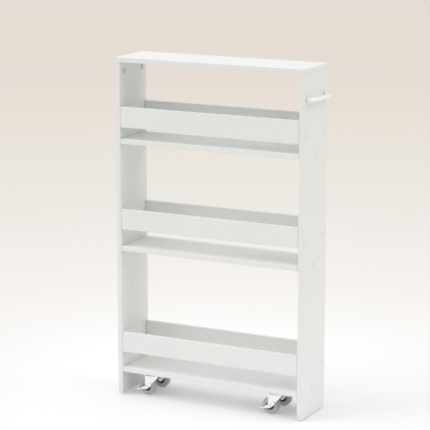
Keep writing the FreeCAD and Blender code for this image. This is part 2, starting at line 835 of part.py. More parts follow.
def make_axle(name, x, y, outer):
    """A riveted axle whose two heads lie outside the fork, or outside the brake where there is one."""
    body = new_body(f"{name}_axle", x - s.caster_trail, y, wheel_radius)
    shaft = new_sketch(body, "XZ", "shaft")
    circle(shaft, 0, 0, s.axle / 2)
    pad(body, shaft, 2 * outer, both_ways=True)
    for label, lift, backwards in (("near_head", outer, False), ("far_head", -outer, True)):
        head = new_sketch(body, "XZ", label, lift)
        circle(head, 0, 0, s.axle_head / 2)
        pad(body, head, s.axle_head_thickness, backwards=backwards)
    rim = s.axle_head.value / 2
    outermost = (outer + s.axle_head_thickness).value
    fillet(body, body.Tip, s.axle_head_thickness / 2,
           lambda edge: edge.Curve.TypeId == "Part::GeomCircle"
           and abs(edge.Curve.Radius - rim) < 0.01
           and abs(abs(edge.Curve.Center.y) - outermost) < 0.01)
    return body


def make_tyre(name, x, y):
    body = new_body(f"{name}_wheel_tyre", x - s.caster_trail, y, wheel_radius)
    tread = new_sketch(body, "XZ", "tread")
    circle(tread, 0, 0, wheel_radius)
    fillet(body, pad(body, tread, s.wheel_width, both_ways=True), s.tyre_shoulder,
           lambda edge: edge.Curve.TypeId == "Part::GeomCircle")
    bore = new_sketch(body, "XZ", "bore")
    circle(bore, 0, 0, wheel_radius - s.tyre_thickness)
    pocket(body, bore, s.wheel_width, both_ways=True)
    return body


def make_hub(name, x, y):
    """The wheel's core: a rim and a boss joined by a web, with a plain bore for the axle."""
    body = new_body(f"{name}_wheel_hub", x - s.caster_trail, y, wheel_radius)
    rim_radius = wheel_radius - s.tyre_thickness
    core = new_sketch(body, "XZ", "core")
    circle(core, 0, 0, rim_radius)
    width = s.wheel_width - s.fork_side_gap
    pad(body, core, width, both_ways=True)
    for label, lift, backwards in (("near_recess", width / 2, False), ("far_recess", -width / 2, True)):
        recess = new_sketch(body, "XZ", label, lift)
        circle(recess, 0, 0, rim_radius - s.hub_rim)
        circle(recess, 0, 0, s.hub_boss)
        pocket(body, recess, s.hub_recess, backwards=backwards)
    boss = new_sketch(body, "XZ", "boss")
    circle(boss, 0, 0, s.hub_boss)
    pad(body, boss, 2 * (fork_inner - s.side_gap), both_ways=True)
    bore = new_sketch(body, "XZ", "bore")
    circle(bore, 0, 0, s.axle / 2 + s.running_gap)
    pocket(body, bore, 2 * fork_inner, both_ways=True)
    return body


def make_brake(name, x, y):
    """A pedal whose two cheeks turn on the axle and whose tab reaches out behind the wheel."""
    body = new_body(f"{name}_brake_pedal", x - s.caster_trail, y, wheel_radius)
    tab_x, tab_z = -(wheel_radius + s.brake_tab), -s.brake_tab_drop
    elbow = (-s.brake_elbow_back, -s.brake_elbow_drop, s.brake_tab)
    lobe = (s.brake_lobe_ahead, s.brake_lobe_rise, s.brake_lobe)
    cheeks = new_sketch(body, "XZ", "cheeks")
    wrap(cheeks, [(0, 0, s.brake_boss), lobe, elbow])
    pad(body, cheeks, 2 * brake_outer, both_ways=True)
    arms = new_sketch(body, "XZ", "arms")
    wrap(arms, [elbow, (tab_x - s.brake_tab, tab_z, s.brake_tab)])
    pad(body, arms, 2 * brake_outer, both_ways=True)
    gap = new_sketch(body, "YZ", "gap")
    rectangle(gap, -brake_inner, -wheel_radius, 2 * brake_inner, s.wheel_diameter)
    pocket(body, gap, 4 * wheel_radius, both_ways=True)
    tab = new_sketch(body, "XZ", "tab")
    half = s.brake_tab / 2
    wrap(tab, [(tab_x, tab_z, half), (half - s.brake_reach, tab_z - s.brake_tab, half)])
    pad(body, tab, 2 * brake_outer, both_ways=True)
    pivot = new_sketch(body, "XZ", "pivot_holes")
    circle(pivot, 0, 0, s.axle / 2 + s.running_gap)
    pocket(body, pivot, 2 * brake_outer, both_ways=True)
    return body


plate_screw = make_screw("plate_screw_master", s.plate_screw, s.plate_screw_head,
                         s.screw_head_depth, s.screw_head_depth + s.plate_thickness + s.plate_screw_bite)
plate_screw_places = []
for caster, x, y, has_brake in CASTERS:
    make_plate(caster, x, y)
    make_king_pin(caster, x, y)
    make_balls(caster, x, y)
    make_fork(caster, x, y)
    make_axle(caster, x, y, brake_outer + s.side_gap if has_brake else fork_outer)
    make_tyre(caster, x, y)
    make_hub(caster, x, y)
    if has_brake:
        make_brake(caster, x, y)
    for dx in plate_screw_offsets:
        for dy in plate_screw_offsets:
            point = vector(x + dx, y + dy, plate_under - s.screw_head_depth)
            plate_screw_places.append((point, down))
group("caster_plate_screws", copies(plate_screw, plate_screw_places))

# ---------------------------------------------------------------- check and write

doc.recompute()
for obj in doc.Objects:
    assert not {"Invalid", "Error"} & set(obj.State), f"{obj.Label}: {obj.State}"
for node in nodes:
    assert not node.Shape.isNull() and node.Shape.isValid(), node.Label
os.makedirs("parts", exist_ok=True)
for node in nodes:
    node.Shape.exportStep(f"parts/{node.Label}.step")
print(len(nodes), "nodes, top at", round(top.value, 2))
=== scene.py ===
import json
import math
import bmesh
import bpy
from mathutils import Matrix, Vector


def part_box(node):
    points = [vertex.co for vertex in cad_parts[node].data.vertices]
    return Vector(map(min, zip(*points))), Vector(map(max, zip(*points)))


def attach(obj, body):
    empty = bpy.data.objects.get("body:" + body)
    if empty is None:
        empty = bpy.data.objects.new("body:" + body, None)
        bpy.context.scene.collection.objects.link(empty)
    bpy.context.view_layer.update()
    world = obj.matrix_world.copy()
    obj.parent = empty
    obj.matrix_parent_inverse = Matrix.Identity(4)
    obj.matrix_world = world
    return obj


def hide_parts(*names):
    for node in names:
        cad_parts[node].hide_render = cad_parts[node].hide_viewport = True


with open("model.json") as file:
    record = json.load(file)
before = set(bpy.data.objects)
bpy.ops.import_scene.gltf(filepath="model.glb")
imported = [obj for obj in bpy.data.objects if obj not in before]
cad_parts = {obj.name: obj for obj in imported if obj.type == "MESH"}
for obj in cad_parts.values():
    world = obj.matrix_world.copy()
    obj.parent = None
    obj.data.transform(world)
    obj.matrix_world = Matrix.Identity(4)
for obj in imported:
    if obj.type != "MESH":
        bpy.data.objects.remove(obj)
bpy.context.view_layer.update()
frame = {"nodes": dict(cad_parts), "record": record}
cadNodes = frame["nodes"]
scene = bpy.context.scene
print("frame loaded,", len(cadNodes), "pieces")

casterNames = ["front_left", "front_right", "rear_left", "rear_right"]

# ---- small helpers for node trees


def addNode(tree, kind, settings=None, **links):
    node = tree.nodes.new(kind)
    for key, value in (settings or {}).items():
        if key in node.inputs:
            node.inputs[key].default_value = value
        else:
            setattr(node, key, value)
    for key, source in links.items():  # linkName_with_underscores feeds the socket of that name
        tree.links.new(source, node.inputs[key.replace("_", " ")])
    return node


def maths(tree, operation, a, b=0.0, clamp=False):
    node = tree.nodes.new("ShaderNodeMath")
    node.operation = operation
    node.use_clamp = clamp
    for socket, value in zip(node.inputs, (a, b)):
        if isinstance(value, (int, float)):
            socket.default_value = value
        else:
            tree.links.new(value, socket)
    return node.outputs[0]


def objectPlace(tree, stretch=(1, 1, 1)):
    place = addNode(tree, "ShaderNodeTexCoord").outputs["Object"]
    return addNode(tree, "ShaderNodeMapping", {"Scale": stretch}, Vector=place).outputs[0]


def noiseAt(tree, place, scale, detail=2.0, roughness=0.5):
    settings = {"Scale": scale, "Detail": detail, "Roughness": roughness}
    return addNode(tree, "ShaderNodeTexNoise", settings, Vector=place).outputs["Fac"]


def spread(tree, source, low, high, fromLow=0.3, fromHigh=0.7):
    settings = {"From Min": fromLow, "From Max": fromHigh, "To Min": low, "To Max": high}
    return addNode(tree, "ShaderNodeMapRange", settings, Value=source).outputs[0]


def tint(tree, amount, first, second):
    node = addNode(tree, "ShaderNodeMix", {"data_type": "RGBA"})
    node.inputs["Factor"].default_value = 0.5
    node.inputs[6].default_value = (*first, 1)
    if isinstance(second, tuple):
        node.inputs[7].default_value = (*second, 1)
    else:
        tree.links.new(second, node.inputs[7])
    tree.links.new(amount, node.inputs["Factor"])
    return node.outputs[2]


def tintOver(tree, amount, under, second):
    node = addNode(tree, "ShaderNodeMix", {"data_type": "RGBA"})
    tree.links.new(under, node.inputs[6])
    node.inputs[7].default_value = (*second, 1)
    tree.links.new(amount, node.inputs["Factor"])
    return node.outputs[2]


def bumpOf(tree, shader, height, strength, distance):
    bump = addNode(tree, "ShaderNodeBump", {"Strength": strength, "Distance": distance}, Height=height)
    tree.links.new(bump.outputs[0], shader.inputs["Normal"])
    return bump


def newMaterial(name, shaderValues):
    material = bpy.data.materials.new(name)
    material.use_nodes = True
    tree = material.node_tree
    shader = tree.nodes["Principled BSDF"]
    for key, value in shaderValues.items():
        shader.inputs[key].default_value = value
    return material, tree, shader


# ---- finishes

board = {
    "face": (0.812, 0.824, 0.806),
    "faceCool": (0.792, 0.806, 0.790),
    "speckAndLowDarkTone": (0.640, 0.625, 0.590),
    "lowDarkHeight": 0.030,
    "sheen": 0.40,
    "cloudScale": 7,  # scales are features to the metre
    "speckScale": 420,
    "lowDarkScale": 90,
    "sheenScale": 45,
    "grainScale": 1400,
    "peelScale": 160,
    "specks": 0.10,  # the most that a speck or the darkening low down covers
    "lowDarkCover": 0.35,
    "grainBump": 0.25,
    "grainDepth": 0.00006,
}


def makeBoardFinish():
    material, tree, shader = newMaterial("whiteFacedBoard", {"IOR": 1.48})
    place = objectPlace(tree)
    cloud = noiseAt(tree, place, board["cloudScale"], 3)
    colour = tint(tree, spread(tree, cloud, 0, 0.8), board["face"], board["faceCool"])
    speck = noiseAt(tree, place, board["speckScale"], 4, 0.7)
    colour = tintOver(tree, spread(tree, speck, 0, board["specks"], 0.55, 0.8), colour, board["speckAndLowDarkTone"])
    # darker towards the bottom: the boards turn patchily darker in the lowest few centimetres above the
    # floor
    height = addNode(tree, "ShaderNodeSeparateXYZ", Vector=place).outputs["Z"]
    lowDown = spread(tree, height, board["lowDarkCover"], 0, 0, board["lowDarkHeight"])
    lowDarkPatches = spread(tree, noiseAt(tree, place, board["lowDarkScale"], 4), 0, 1)
    lowDarkMask = maths(tree, "MULTIPLY", lowDown, lowDarkPatches, True)
    colour = tintOver(tree, lowDarkMask, colour, board["speckAndLowDarkTone"])
    tree.links.new(colour, shader.inputs["Base Color"])
    sheen = spread(tree, noiseAt(tree, place, board["sheenScale"], 3),
                   board["sheen"] - 0.05, board["sheen"] + 0.07)
    tree.links.new(sheen, shader.inputs["Roughness"])
    grain = maths(tree, "ADD", noiseAt(tree, place, board["grainScale"], 3),
                  maths(tree, "MULTIPLY", noiseAt(tree, place, board["peelScale"], 2), 0.8))
    bumpOf(tree, shader, grain, board["grainBump"], board["grainDepth"])
    return material


# foot: painted shade colour for the ends of the handle next to the panel
enamel = {"colour": (0.97, 0.97, 0.965), "shade": (0.93, 0.935, 0.93), "foot": (0.74, 0.745, 0.735),
          "footShadeDepth": 0.0032, "footShadeFade": 0.0008, "sheen": 0.20, "coat": 1.0,
          "cloudScale": 60, "sheenScale": 180, "peelScale": 650,
          "coatRough": 0.12, "peelBump": 0.18, "peelDepth": 0.00008}


def makeEnamel():
    material, tree, shader = newMaterial("whiteEnamel", {
        "Coat Weight": enamel["coat"], "Coat Roughness": enamel["coatRough"], "IOR": 1.5})
    place = objectPlace(tree)
    cloud = noiseAt(tree, place, enamel["cloudScale"], 3)
    colour = tint(tree, spread(tree, cloud, 0, 1), enamel["colour"], enamel["shade"])
    out = addNode(tree, "ShaderNodeSeparateXYZ", Vector=place).outputs["X"]
    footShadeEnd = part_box("pull_handle")[0].x + enamel["footShadeDepth"]
    footShadeMask = spread(tree, out, 1, 0, footShadeEnd - enamel["footShadeFade"], footShadeEnd)  # painted shade: the feet darken where the handle meets the panel
    tree.links.new(tintOver(tree, footShadeMask, colour, enamel["foot"]), shader.inputs["Base Color"])
    sheen = spread(tree, noiseAt(tree, place, enamel["sheenScale"], 2),
                   enamel["sheen"] - 0.04, enamel["sheen"] + 0.06)
    tree.links.new(sheen, shader.inputs["Roughness"])
    peel = noiseAt(tree, place, enamel["peelScale"], 2)
    bumpOf(tree, shader, peel, enamel["peelBump"], enamel["peelDepth"])
    return material


metals = {
    "zincPlate": {"light": (0.96, 0.96, 0.965), "dark": (0.84, 0.85, 0.86),
                  "rough": (0.18, 0.30), "mottle": 260},
    "screwZinc": {"light": (0.74, 0.75, 0.75), "dark": (0.50, 0.51, 0.52),
                  "rough": (0.25, 0.42), "mottle": 700},
    "ballSteel": {"light": (0.82, 0.82, 0.83), "dark": (0.70, 0.70, 0.71),
                  "rough": (0.08, 0.18), "mottle": 900},
}
metalGrain = {"stretch": (1, 1, 14), "scratchScale": 240, "bump": 0.2, "depth": 0.00004}


def makeMetal(name):
    look = metals[name]
    material, tree, shader = newMaterial(name, {"Metallic": 1.0})
    place = objectPlace(tree)
    mottle = noiseAt(tree, place, look["mottle"], 4, 0.6)
    colour = tint(tree, spread(tree, mottle, 0, 1), look["light"], look["dark"])
    tree.links.new(colour, shader.inputs["Base Color"])
    scratches = noiseAt(tree, objectPlace(tree, metalGrain["stretch"]), metalGrain["scratchScale"], 3)
    tree.links.new(spread(tree, scratches, *look["rough"]), shader.inputs["Roughness"])
    bumpOf(tree, shader, mottle, metalGrain["bump"], metalGrain["depth"])
    return material


plastics = {
    "wheelPlastic": {"colour": (0.52, 0.53, 0.52), "worn": (0.40, 0.405, 0.395), "rough": (0.36, 0.55),
                     "grain": 520, "depth": 0.0001, "glow": 0.12},
    "hubPlastic": {"colour": (0.030, 0.030, 0.032), "worn": (0.055, 0.055, 0.055), "rough": (0.30, 0.45),
                   "grain": 700, "depth": 0.00006, "glow": 0.0},
    "coverFilm": {"colour": (0.800, 0.802, 0.787), "worn": (0.775, 0.780, 0.765), "rough": (0.46, 0.58),
                  "grain": 900, "depth": 0.00004, "glow": 0.0},
    "camCap": {"colour": (0.66, 0.665, 0.66), "worn": (0.58, 0.585, 0.58), "rough": (0.35, 0.5),
               "grain": 800, "depth": 0.00006, "glow": 0.0},
}
moulding = {"cloudScale": 110, "bump": 0.3, "glowReach": 0.003}


def makePlastic(name):
    look = plastics[name]
    material, tree, shader = newMaterial(name, {
        "Subsurface Weight": look["glow"], "Subsurface Scale": moulding["glowReach"], "IOR": 1.5})
    place = objectPlace(tree)
    cloud = noiseAt(tree, place, moulding["cloudScale"], 4, 0.6)
    colour = tint(tree, spread(tree, cloud, 0, 1), look["colour"], look["worn"])
    tree.links.new(colour, shader.inputs["Base Color"])
    grain = noiseAt(tree, place, look["grain"], 3)
    tree.links.new(spread(tree, grain, *look["rough"]), shader.inputs["Roughness"])
    bumpOf(tree, shader, grain, moulding["bump"], look["depth"])
    return material


beech = {"light": (0.62, 0.44, 0.27), "dark": (0.44, 0.28, 0.15), "rings": 380,
         "rough": 0.7, "stretch": (0.15, 1, 1), "bump": 0.4, "depth": 0.0002}


def makeBeech():
    material, tree, shader = newMaterial("beech", {"Roughness": beech["rough"]})
    place = objectPlace(tree, beech["stretch"])
    grain = noiseAt(tree, place, beech["rings"], 5, 0.65)
    flecks = noiseAt(tree, place, beech["rings"] * 4, 2)
    mixed = maths(tree, "ADD", maths(tree, "MULTIPLY", grain, 0.7), maths(tree, "MULTIPLY", flecks, 0.3))
    tree.links.new(tint(tree, spread(tree, mixed, 0, 1), beech["light"], beech["dark"]),
                   shader.inputs["Base Color"])
    bumpOf(tree, shader, mixed, beech["bump"], beech["depth"])
    return material


finishes = {
    "white_board": makeBoardFinish(),
    "handle_white": makeEnamel(),
    "cover_white": makePlastic("coverFilm"),
    "screw_steel": makeMetal("screwZinc"),
    "cam_zinc": makePlastic("camCap"),
    "dowel_wood": makeBeech(),
    "caster_steel": makeMetal("zincPlate"),
    "ball_steel": makeMetal("ballSteel"),
    "wheel_grey": makePlastic("wheelPlastic"),
    "hub_black": makePlastic("hubPlastic"),
}
for part in frame["record"]["subparts"]:
    mesh = cadNodes[part["node"]].data
    mesh.materials.clear()
    mesh.materials.append(finishes[part["material_slot"]])
print("finishes made:", len(finishes))

# ---- geometry trees


def newTree(name, inputs):
    tree = bpy.data.node_groups.new(name, "GeometryNodeTree")
    tree.interface.new_socket("Geometry", in_out="INPUT", socket_type="NodeSocketGeometry")
    for label, kind in inputs.items():
        tree.interface.new_socket(label, in_out="INPUT", socket_type=f"NodeSocket{kind}")
    tree.interface.new_socket("Geometry", in_out="OUTPUT", socket_type="NodeSocketGeometry")
    return tree, tree.nodes.new("NodeGroupInput").outputs


def closeTree(tree, geometry, material, smooth=False):  # realize, material, out
    realized = addNode(tree, "GeometryNodeRealizeInstances", Geometry=geometry).outputs[0]
    if smooth:
        realized = addNode(tree, "GeometryNodeSetShadeSmooth", Geometry=realized).outputs[0]
    painted = addNode(tree, "GeometryNodeSetMaterial", Geometry=realized, Material=material).outputs[0]
    tree.links.new(painted, tree.nodes.new("NodeGroupOutput").inputs[0])


def joined(tree, *geometries):
    node = tree.nodes.new("GeometryNodeJoinGeometry")
    for geometry in reversed(geometries):
        tree.links.new(geometry, node.inputs[0])
    return node.outputs[0]


def growPiece(name, start, tree, values, body, replaced=()):
    piece = bpy.data.objects.new(name, start)
    scene.collection.objects.link(piece)
    modifier = piece.modifiers.new("grow", "NODES")
    modifier.node_group = tree
    for socket in tree.interface.items_tree:
        if socket.item_type == "SOCKET" and socket.in_out == "INPUT" and socket.name in values:
            modifier[socket.identifier] = values[socket.name]
    grown = piece.evaluated_get(bpy.context.evaluated_depsgraph_get())
    mesh = bpy.data.meshes.new_from_object(grown)
    piece.modifiers.clear()
    piece.data = mesh
    mesh.name = name
    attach(piece, body)
    if replaced:
        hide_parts(*replaced)
    return piece


def pointMesh(name, points, edges=(), facing=None):
    mesh = bpy.data.meshes.new(name)
    mesh.from_pydata([tuple(p) for p in points], list(edges), [])
    if facing:
        ways = mesh.attributes.new("facing", "FLOAT_VECTOR", "POINT")
        for way, value in zip(ways.data, facing):
            way.vector = value
    return mesh


def solidBoxes(nodeName):  # the lowest and highest corner of each separate solid in a grouped node
    shell = bmesh.new()
    shell.from_mesh(cadNodes[nodeName].data)
    bmesh.ops.remove_doubles(shell, verts=shell.verts, dist=1e-6)
    boxes, seen = [], set()
    for seed in shell.verts:
        if seed in seen:
            continue
        reached, waiting = [], [seed]
        seen.add(seed)
        while waiting:
            vert = waiting.pop()
            reached.append(vert.co.copy())
            for edge in vert.link_edges:
                other = edge.other_vert(vert)
                if other not in seen:
                    seen.add(other)
                    waiting.append(other)
        low = Vector(min(p[i] for p in reached) for i in range(3))
        high = Vector(max(p[i] for p in reached) for i in range(3))
        boxes.append((low, high))
    shell.free()
    return sorted(boxes, key=lambda box: tuple(round(v, 4) for v in box[0]))


# ---- stick-on covers over the screw heads

cover = {"rim": 0.00030, "segments": 56}


def makeCovers():
    boxes = solidBoxes("screw_covers")
    thickness = boxes[0][1].x - boxes[0][0].x
    radius = (boxes[0][1].z - boxes[0][0].z) / 2
    centres = [(low + high) / 2 for low, high in boxes]
    facing = [(math.copysign(1, c.x), 0, 0) for c in centres]
    tree, given = newTree("coverTree", {
        "Radius": "Float", "Thickness": "Float", "Rim": "Float", "Segments": "Int", "Finish": "Material"})
    narrow = maths(tree, "SUBTRACT", given["Radius"], given["Rim"])
    disc = addNode(tree, "GeometryNodeMeshCone", {"Fill Segments": 3}, Vertices=given["Segments"],
                   Radius_Top=narrow, Radius_Bottom=given["Radius"], Depth=given["Thickness"])
    halfway = addNode(tree, "ShaderNodeCombineXYZ", Z=maths(tree, "MULTIPLY", given["Thickness"], -0.5))
    centred = addNode(tree, "GeometryNodeTransform", Geometry=disc.outputs["Mesh"],
                      Translation=halfway.outputs[0])
    way = addNode(tree, "GeometryNodeInputNamedAttribute", {"data_type": "FLOAT_VECTOR", "Name": "facing"})
    turned = addNode(tree, "FunctionNodeAlignRotationToVector", {"axis": "Z"}, Vector=way.outputs[0])
    placed = addNode(tree, "GeometryNodeInstanceOnPoints", Points=given["Geometry"],
                     Instance=centred.outputs[0], Rotation=turned.outputs[0])
    closeTree(tree, placed.outputs[0], given["Finish"])
    values = {"Radius": radius, "Thickness": thickness, "Rim": cover["rim"],
              "Segments": cover["segments"], "Finish": finishes["cover_white"]}
    return growPiece("screwCovers", pointMesh("coverPoints", centres, facing=facing), tree, values,
                     "cart", ["screw_covers"])


makeCovers()

# ---- pan-head screws that hold the caster plates

plateScrew = {"shank": 0.0015, "crown": 0.55, "crossWidth": 0.0007, "crossReach": 0.6,
              "crossDepth": 0.55, "plateThickness": 0.002, "headAround": 32, "shankAround": 16}


def makePlateScrews():
    boxes = solidBoxes("caster_plate_screws")
    headRadius = (boxes[0][1].x - boxes[0][0].x) / 2
    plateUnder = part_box("front_left_plate")[1].z - plateScrew["plateThickness"]
    headDepth = plateUnder - boxes[0][0].z
    length = boxes[0][1].z - boxes[0][0].z
    points = [((low + high) / 2).xy.to_3d() + Vector((0, 0, plateUnder)) for low, high in boxes]
    tree, given = newTree("plateScrewTree", {
        "Head Radius": "Float", "Head Depth": "Float", "Crown": "Float", "Shank Radius": "Float",
        "Shank Length": "Float", "Cross Width": "Float", "Cross Reach": "Float", "Cross Depth": "Float",
        "Finish": "Material"})
    crown = maths(tree, "MULTIPLY", given["Head Radius"], given["Crown"])
    head = addNode(tree, "GeometryNodeMeshCone", {"Vertices": plateScrew["headAround"], "Side Segments": 1},
                   Radius_Top=given["Head Radius"], Radius_Bottom=crown, Depth=given["Head Depth"])
    drop = addNode(tree, "ShaderNodeCombineXYZ", Z=maths(tree, "MULTIPLY", given["Head Depth"], -1.0))
    head = addNode(tree, "GeometryNodeTransform", Geometry=head.outputs["Mesh"], Translation=drop.outputs[0])
    reach = maths(tree, "MULTIPLY", given["Head Radius"], given["Cross Reach"])
    cutDeep = maths(tree, "MULTIPLY", given["Head Depth"], given["Cross Depth"])
    bars = []
    for wide, long in ((given["Cross Width"], reach), (reach, given["Cross Width"])):
        size = addNode(tree, "ShaderNodeCombineXYZ", X=wide, Y=long, Z=maths(tree, "MULTIPLY", cutDeep, 2.0))
        bar = addNode(tree, "GeometryNodeMeshCube", Size=size.outputs[0])
        moved = addNode(tree, "GeometryNodeTransform", Geometry=bar.outputs["Mesh"],
                        Translation=drop.outputs[0])
        bars.append(moved.outputs[0])
    cut = addNode(tree, "GeometryNodeMeshBoolean", {"operation": "DIFFERENCE", "solver": "EXACT"})
    tree.links.new(head.outputs[0], cut.inputs["Mesh 1"])
    for bar in bars:
        tree.links.new(bar, cut.inputs["Mesh 2"])
    shank = addNode(tree, "GeometryNodeMeshCylinder", {"Vertices": plateScrew["shankAround"]},
                    Radius=given["Shank Radius"], Depth=given["Shank Length"])
    lift = addNode(tree, "ShaderNodeCombineXYZ", Z=maths(tree, "MULTIPLY", given["Shank Length"], 0.5))
    shank = addNode(tree, "GeometryNodeTransform", Geometry=shank.outputs["Mesh"],
                    Translation=lift.outputs[0])
    screw = joined(tree, cut.outputs[0], shank.outputs[0])
    placed = addNode(tree, "GeometryNodeInstanceOnPoints", Points=given["Geometry"], Instance=screw)
    closeTree(tree, placed.outputs[0], given["Finish"])
    values = {"Head Radius": headRadius, "Head Depth": headDepth, "Crown": plateScrew["crown"],
              "Shank Radius": plateScrew["shank"], "Shank Length": length - headDepth,
              "Cross Width": plateScrew["crossWidth"], "Cross Reach": 2 * plateScrew["crossReach"],
              "Cross Depth": plateScrew["crossDepth"], "Finish": finishes["screw_steel"]}
    return growPiece("plateScrews", pointMesh("plateScrewPoints", points), tree, values,
                     "cart", ["caster_plate_screws"])


makePlateScrews()

# ---- the ring of balls in each swivel race

raceBalls = {"count": 12, "subdivisions": 3}


def makeRaceTree():
    tree, given = newTree("raceTree", {
        "Count": "Int", "Ring Radius": "Float", "Ball Radius": "Float", "Subdivisions": "Int",
        "Centre": "Vector", "Finish": "Material"})
    ring = addNode(tree, "GeometryNodeMeshCircle", Vertices=given["Count"], Radius=given["Ring Radius"])
    ball = addNode(tree, "GeometryNodeMeshIcoSphere", Radius=given["Ball Radius"],
                   Subdivisions=given["Subdivisions"])
    placed = addNode(tree, "GeometryNodeInstanceOnPoints", Points=ring.outputs[0], Instance=ball.outputs[0])
    moved = addNode(tree, "GeometryNodeTransform", Geometry=placed.outputs[0], Translation=given["Centre"])
    closeTree(tree, moved.outputs[0], given["Finish"], smooth=True)
    return tree


raceTree = makeRaceTree()
for caster in casterNames:
    low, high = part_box(f"{caster}_race_balls")
    ballRadius = (high.z - low.z) / 2
    growPiece(f"{caster}_raceRing", pointMesh("raceStart", []), raceTree, {
        "Count": raceBalls["count"], "Ring Radius": (high.x - low.x) / 2 - ballRadius,
        "Ball Radius": ballRadius, "Subdivisions": raceBalls["subdivisions"],
        "Centre": (low + high) / 2, "Finish": finishes["ball_steel"]},
        f"{caster}_swivel", [f"{caster}_race_balls"])

# ---- bowed pull handle: one bar swept along its path, and a round rosette under each foot

handle = {
    "spacing": 0.096, "leg": 0.004, "bend": 0.010, "bow": 0.400, "barRadius": 0.00475, "around": 32,
    "bendSteps": 12, "bowSteps": 16, "rosetteSteps": 24,
    "rosetteRadius": 0.0075, "rosetteDepth": 0.0030, "rosetteRim": 0.0012, "rosetteGap": 0.0005,
}


def handlePath():
    half, leg, bend, bow = handle["spacing"] / 2, handle["leg"], handle["bend"], handle["bow"]
    lean = math.asin((half - bend) / (bow - bend))
    bowCentre = leg - (bow - bend) * math.cos(lean)
    low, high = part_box("pull_handle")
    foot, middle, level = low.x, (low.y + high.y) / 2, (low.z + high.z) / 2
    side = [(handle["rosetteGap"], half)]  # from a foot to the apex: out of the panel, off the middle
    for i in range(handle["bendSteps"] + 1):
        angle = math.pi / 2 - (math.pi / 2 - lean) * i / handle["bendSteps"]
        side.append((leg + bend * math.cos(angle), half - bend + bend * math.sin(angle)))
    for i in range(1, handle["bowSteps"] + 1):
        angle = lean * (1 - i / handle["bowSteps"])
        side.append((bowCentre + bow * math.cos(angle), bow * math.sin(angle)))
    points = [Vector((foot + out, middle - across, level)) for out, across in side]
    points += [Vector((foot + out, middle + across, level)) for out, across in reversed(side[:-1])]
    return points


def makeHandle():
    points = handlePath()
    start = pointMesh("handlePath", points, [(i, i + 1) for i in range(len(points) - 1)])
    tree, given = newTree("handleTree", {
        "Bar Radius": "Float", "Rosette Radius": "Float", "Rosette Depth": "Float", "Rim": "Float",
        "Around": "Int", "Finish": "Material"})
    path = addNode(tree, "GeometryNodeMeshToCurve", Mesh=given["Geometry"]).outputs[0]
    ring = addNode(tree, "GeometryNodeCurvePrimitiveCircle", {"Radius": 1.0}, Resolution=given["Around"])
    bar = addNode(tree, "GeometryNodeCurveToMesh", {"Fill Caps": True}, Curve=path,
                  Profile_Curve=ring.outputs[0], Scale=given["Bar Radius"])
    tall = addNode(tree, "ShaderNodeCombineXYZ", X=given["Rosette Depth"])
    stem = addNode(tree, "GeometryNodeCurvePrimitiveLine", End=tall.outputs[0])
    stem = addNode(tree, "GeometryNodeResampleCurve", {"Count": handle["rosetteSteps"]},
                   Curve=stem.outputs[0])
    along = addNode(tree, "GeometryNodeSplineParameter").outputs["Length"]
    flat = maths(tree, "SUBTRACT", given["Rosette Depth"], given["Rim"])
    rise = maths(tree, "DIVIDE", maths(tree, "SUBTRACT", along, flat), given["Rim"])
    rise = maths(tree, "MAXIMUM", rise, 0.0)
    curl = maths(tree, "SQRT", maths(tree, "SUBTRACT", 1.0, maths(tree, "MULTIPLY", rise, rise), True))
    inward = maths(tree, "MULTIPLY", maths(tree, "SUBTRACT", 1.0, curl), given["Rim"])
    rosette = addNode(tree, "GeometryNodeCurveToMesh", {"Fill Caps": True}, Curve=stem.outputs[0],
                      Profile_Curve=ring.outputs[0],
                      Scale=maths(tree, "SUBTRACT", given["Rosette Radius"], inward))
    ends = addNode(tree, "GeometryNodeCurveEndpointSelection")
    feet = addNode(tree, "GeometryNodeInstanceOnPoints", Points=path, Instance=rosette.outputs[0],
                   Selection=ends.outputs[0])
    whole = joined(tree, bar.outputs[0], feet.outputs[0])
    closeTree(tree, whole, given["Finish"], smooth=True)
    values = {"Bar Radius": handle["barRadius"], "Rosette Radius": handle["rosetteRadius"],
              "Rosette Depth": handle["rosetteDepth"] - handle["rosetteGap"], "Rim": handle["rosetteRim"],
              "Around": handle["around"], "Finish": finishes["handle_white"]}
    return growPiece("pullHandle", start, tree, values, "cart", ["pull_handle"])


makeHandle()

# ---- moulded ribs across the web of each wheel, and grip ridges on the brake tabs

hubRibs = {"count": 8, "inner": 0.0048, "outer": 0.0081, "width": 0.0011, "depth": 0.0044, "taper": 0.75,
           "setBack": 0.0008}
gripRidges = {"count": 4, "pitch": 0.0019, "width": 0.0009, "height": 0.0005, "margin": 0.0025,
              "fromTip": 0.00125, "tipBelowAxle": 0.0073, "slope": 0.184}


